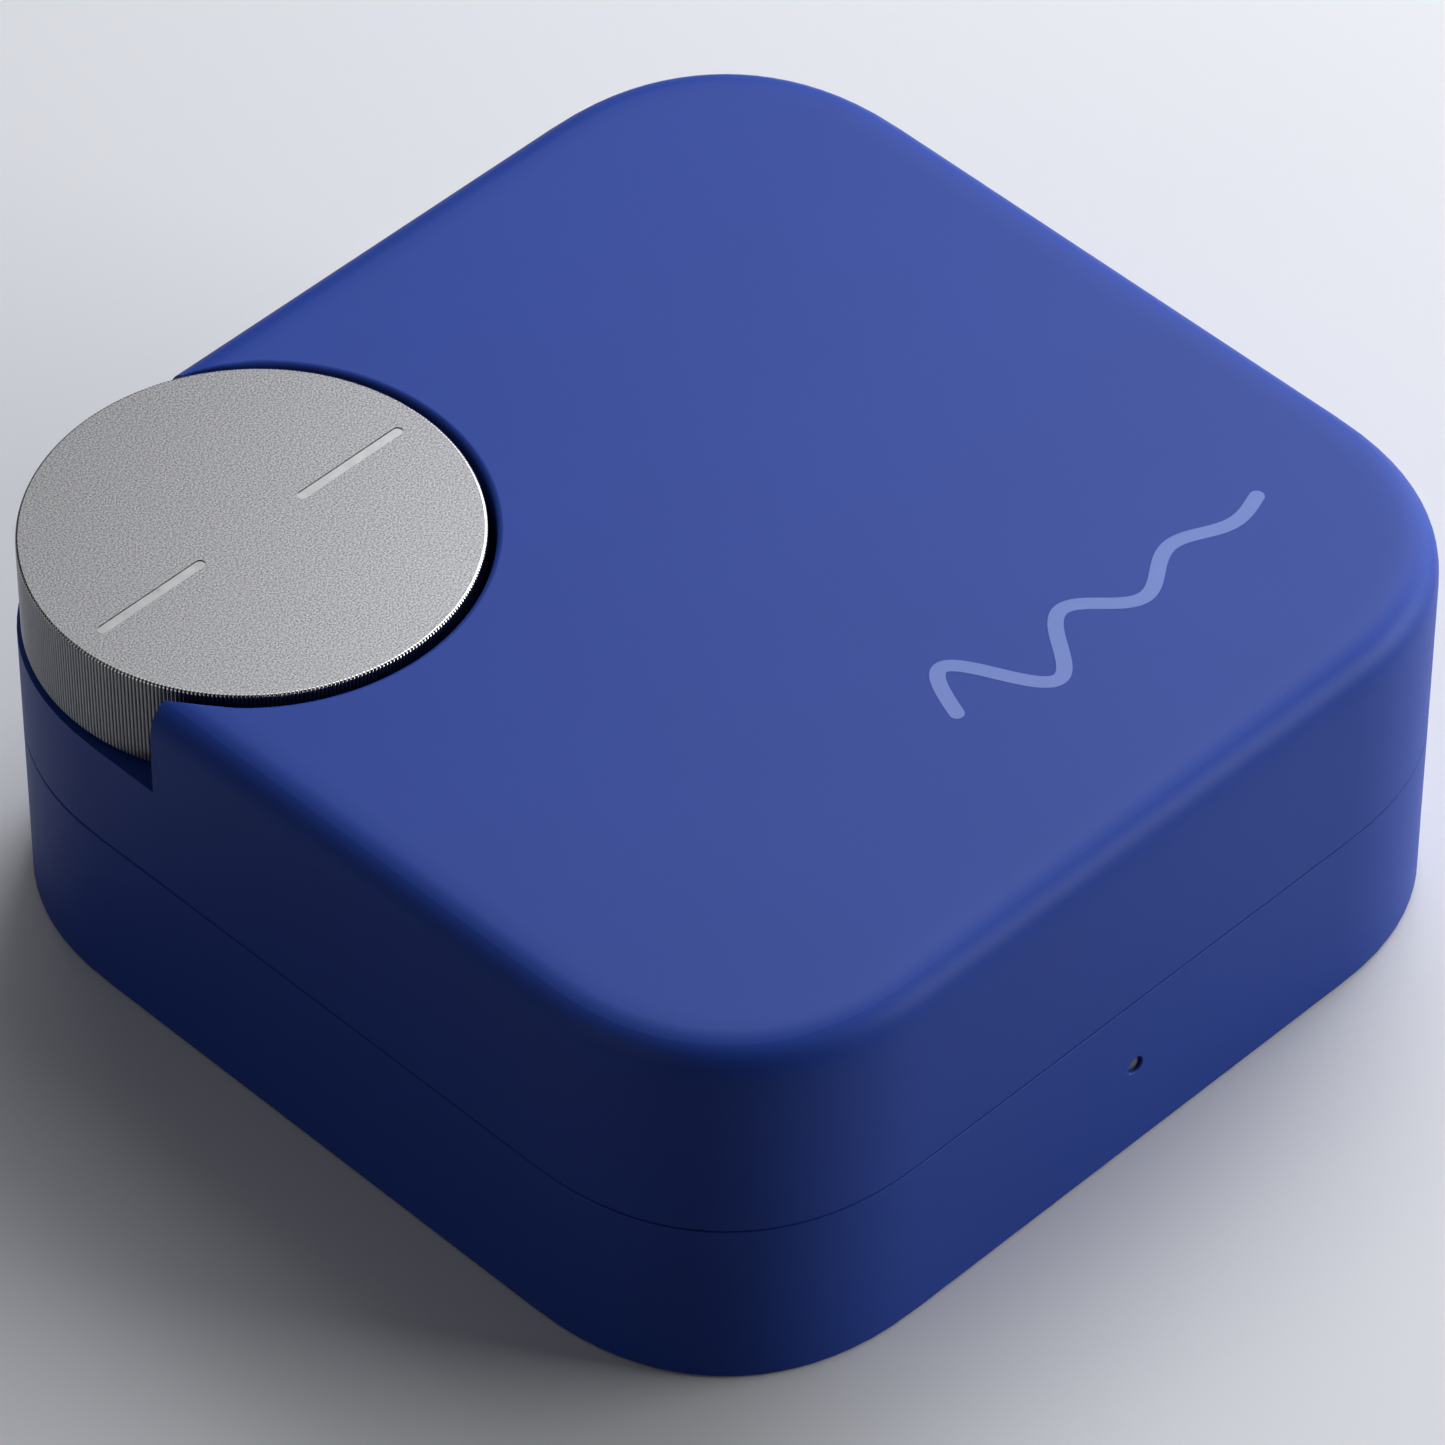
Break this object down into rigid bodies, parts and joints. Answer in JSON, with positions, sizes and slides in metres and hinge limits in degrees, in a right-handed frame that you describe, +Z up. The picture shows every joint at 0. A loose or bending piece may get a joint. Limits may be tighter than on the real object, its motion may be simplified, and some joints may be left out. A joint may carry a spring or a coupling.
{
  "type": "watch demagnetizer",
  "caption": "Square desktop demagnetizer with soft corners, a knurled press-and-turn dial set into the rear left corner, a front signal lamp and a rear charging socket.",
  "frame": {"origin": "on the bench under the middle of the square case, at the lowest face of the feet", "axes": "+Z up, -Y to the front with the signal lamp, +Y to the rear with the charging socket, +X to the right seen from the front"},
  "size_m": [0.1, 0.1, 0.0405],
  "materials": {
    "case_plastic": "fine matte moulded plastic, deep periwinkle blue",
    "dial_metal": "bead blasted and clear anodised, with a knurled side",
    "steel": "plated steel",
    "foot_rubber": "matte black rubber",
    "dark_plastic": "black moulded plastic",
    "pale_plastic": "natural moulded plastic",
    "copper_wire": "enamelled copper wire",
    "ferrite": "dull sintered ferrite",
    "circuit_board": "solder masked circuit board",
    "foam": "closed cell foam",
    "battery_wrap": "heat shrink wrap",
    "capacitor_sleeve": "heat shrink sleeve",
    "lamp_lens": "clear grey moulded plastic",
    "wire_jacket": "flexible wire insulation",
    "mark_ink": "flush printed ink, pale blue"
  },
  "bodies": {
    "root": {"upper_shell": "case_plastic", "lower_shell": "case_plastic", "switch_dome": "steel", "encoder_body": "steel", "encoder_washer": "steel", "encoder_nut": "steel", "encoder_board": "circuit_board", "coil_bobbin": "pale_plastic", "coil_winding": "copper_wire", "coil_core": "ferrite", "coil_back_plate": "steel", "coil_pad": "foam", "main_board": "circuit_board", "capacitor_left": "capacitor_sleeve", "capacitor_right": "capacitor_sleeve", "inductor": "ferrite", "heat_sink": "dial_metal", "power_transistor": "dark_plastic", "controller_chip": "dark_plastic", "usb_socket": "steel", "usb_tongue": "dark_plastic", "status_led": "lamp_lens", "light_pipe": "lamp_lens", "battery_socket": "pale_plastic", "dial_socket": "pale_plastic", "coil_terminal": "pale_plastic", "battery_tray": "dark_plastic", "battery_pack": "battery_wrap", "battery_strap": "dark_plastic", "battery_lead": "wire_jacket", "dial_lead": "wire_jacket", "coil_lead": "wire_jacket", "foot_front_left": "foot_rubber", "case_screw_front_left": "steel", "board_screw_front_left": "steel", "coil_screw_front_left": "steel", "foot_front_right": "foot_rubber", "case_screw_front_right": "steel", "board_screw_front_right": "steel", "coil_screw_front_right": "steel", "foot_rear_left": "foot_rubber", "case_screw_rear_left": "steel", "board_screw_rear_left": "steel", "coil_screw_rear_left": "steel", "foot_rear_right": "foot_rubber", "case_screw_rear_right": "steel", "board_screw_rear_right": "steel", "coil_screw_rear_right": "steel"},
    "press": {"switch_plunger": "pale_plastic"},
    "dial": {"dial_knob": "dial_metal", "dial_hub": "dark_plastic", "encoder_shaft": "steel"}
  },
  "joints": [
    {"name": "dial_press", "type": "slide", "parent": "root", "child": "press", "axis": [0, 0, -1], "range_m": [0, 0.0005], "stiffness_N_per_m": 8000, "springref_m": -0.0002},
    {"name": "dial_turn", "type": "hinge", "parent": "press", "child": "dial", "pos_m": [-0.02908, 0.02908, 0.0355], "axis": [0, 0, 1], "continuous": true}
  ]
}
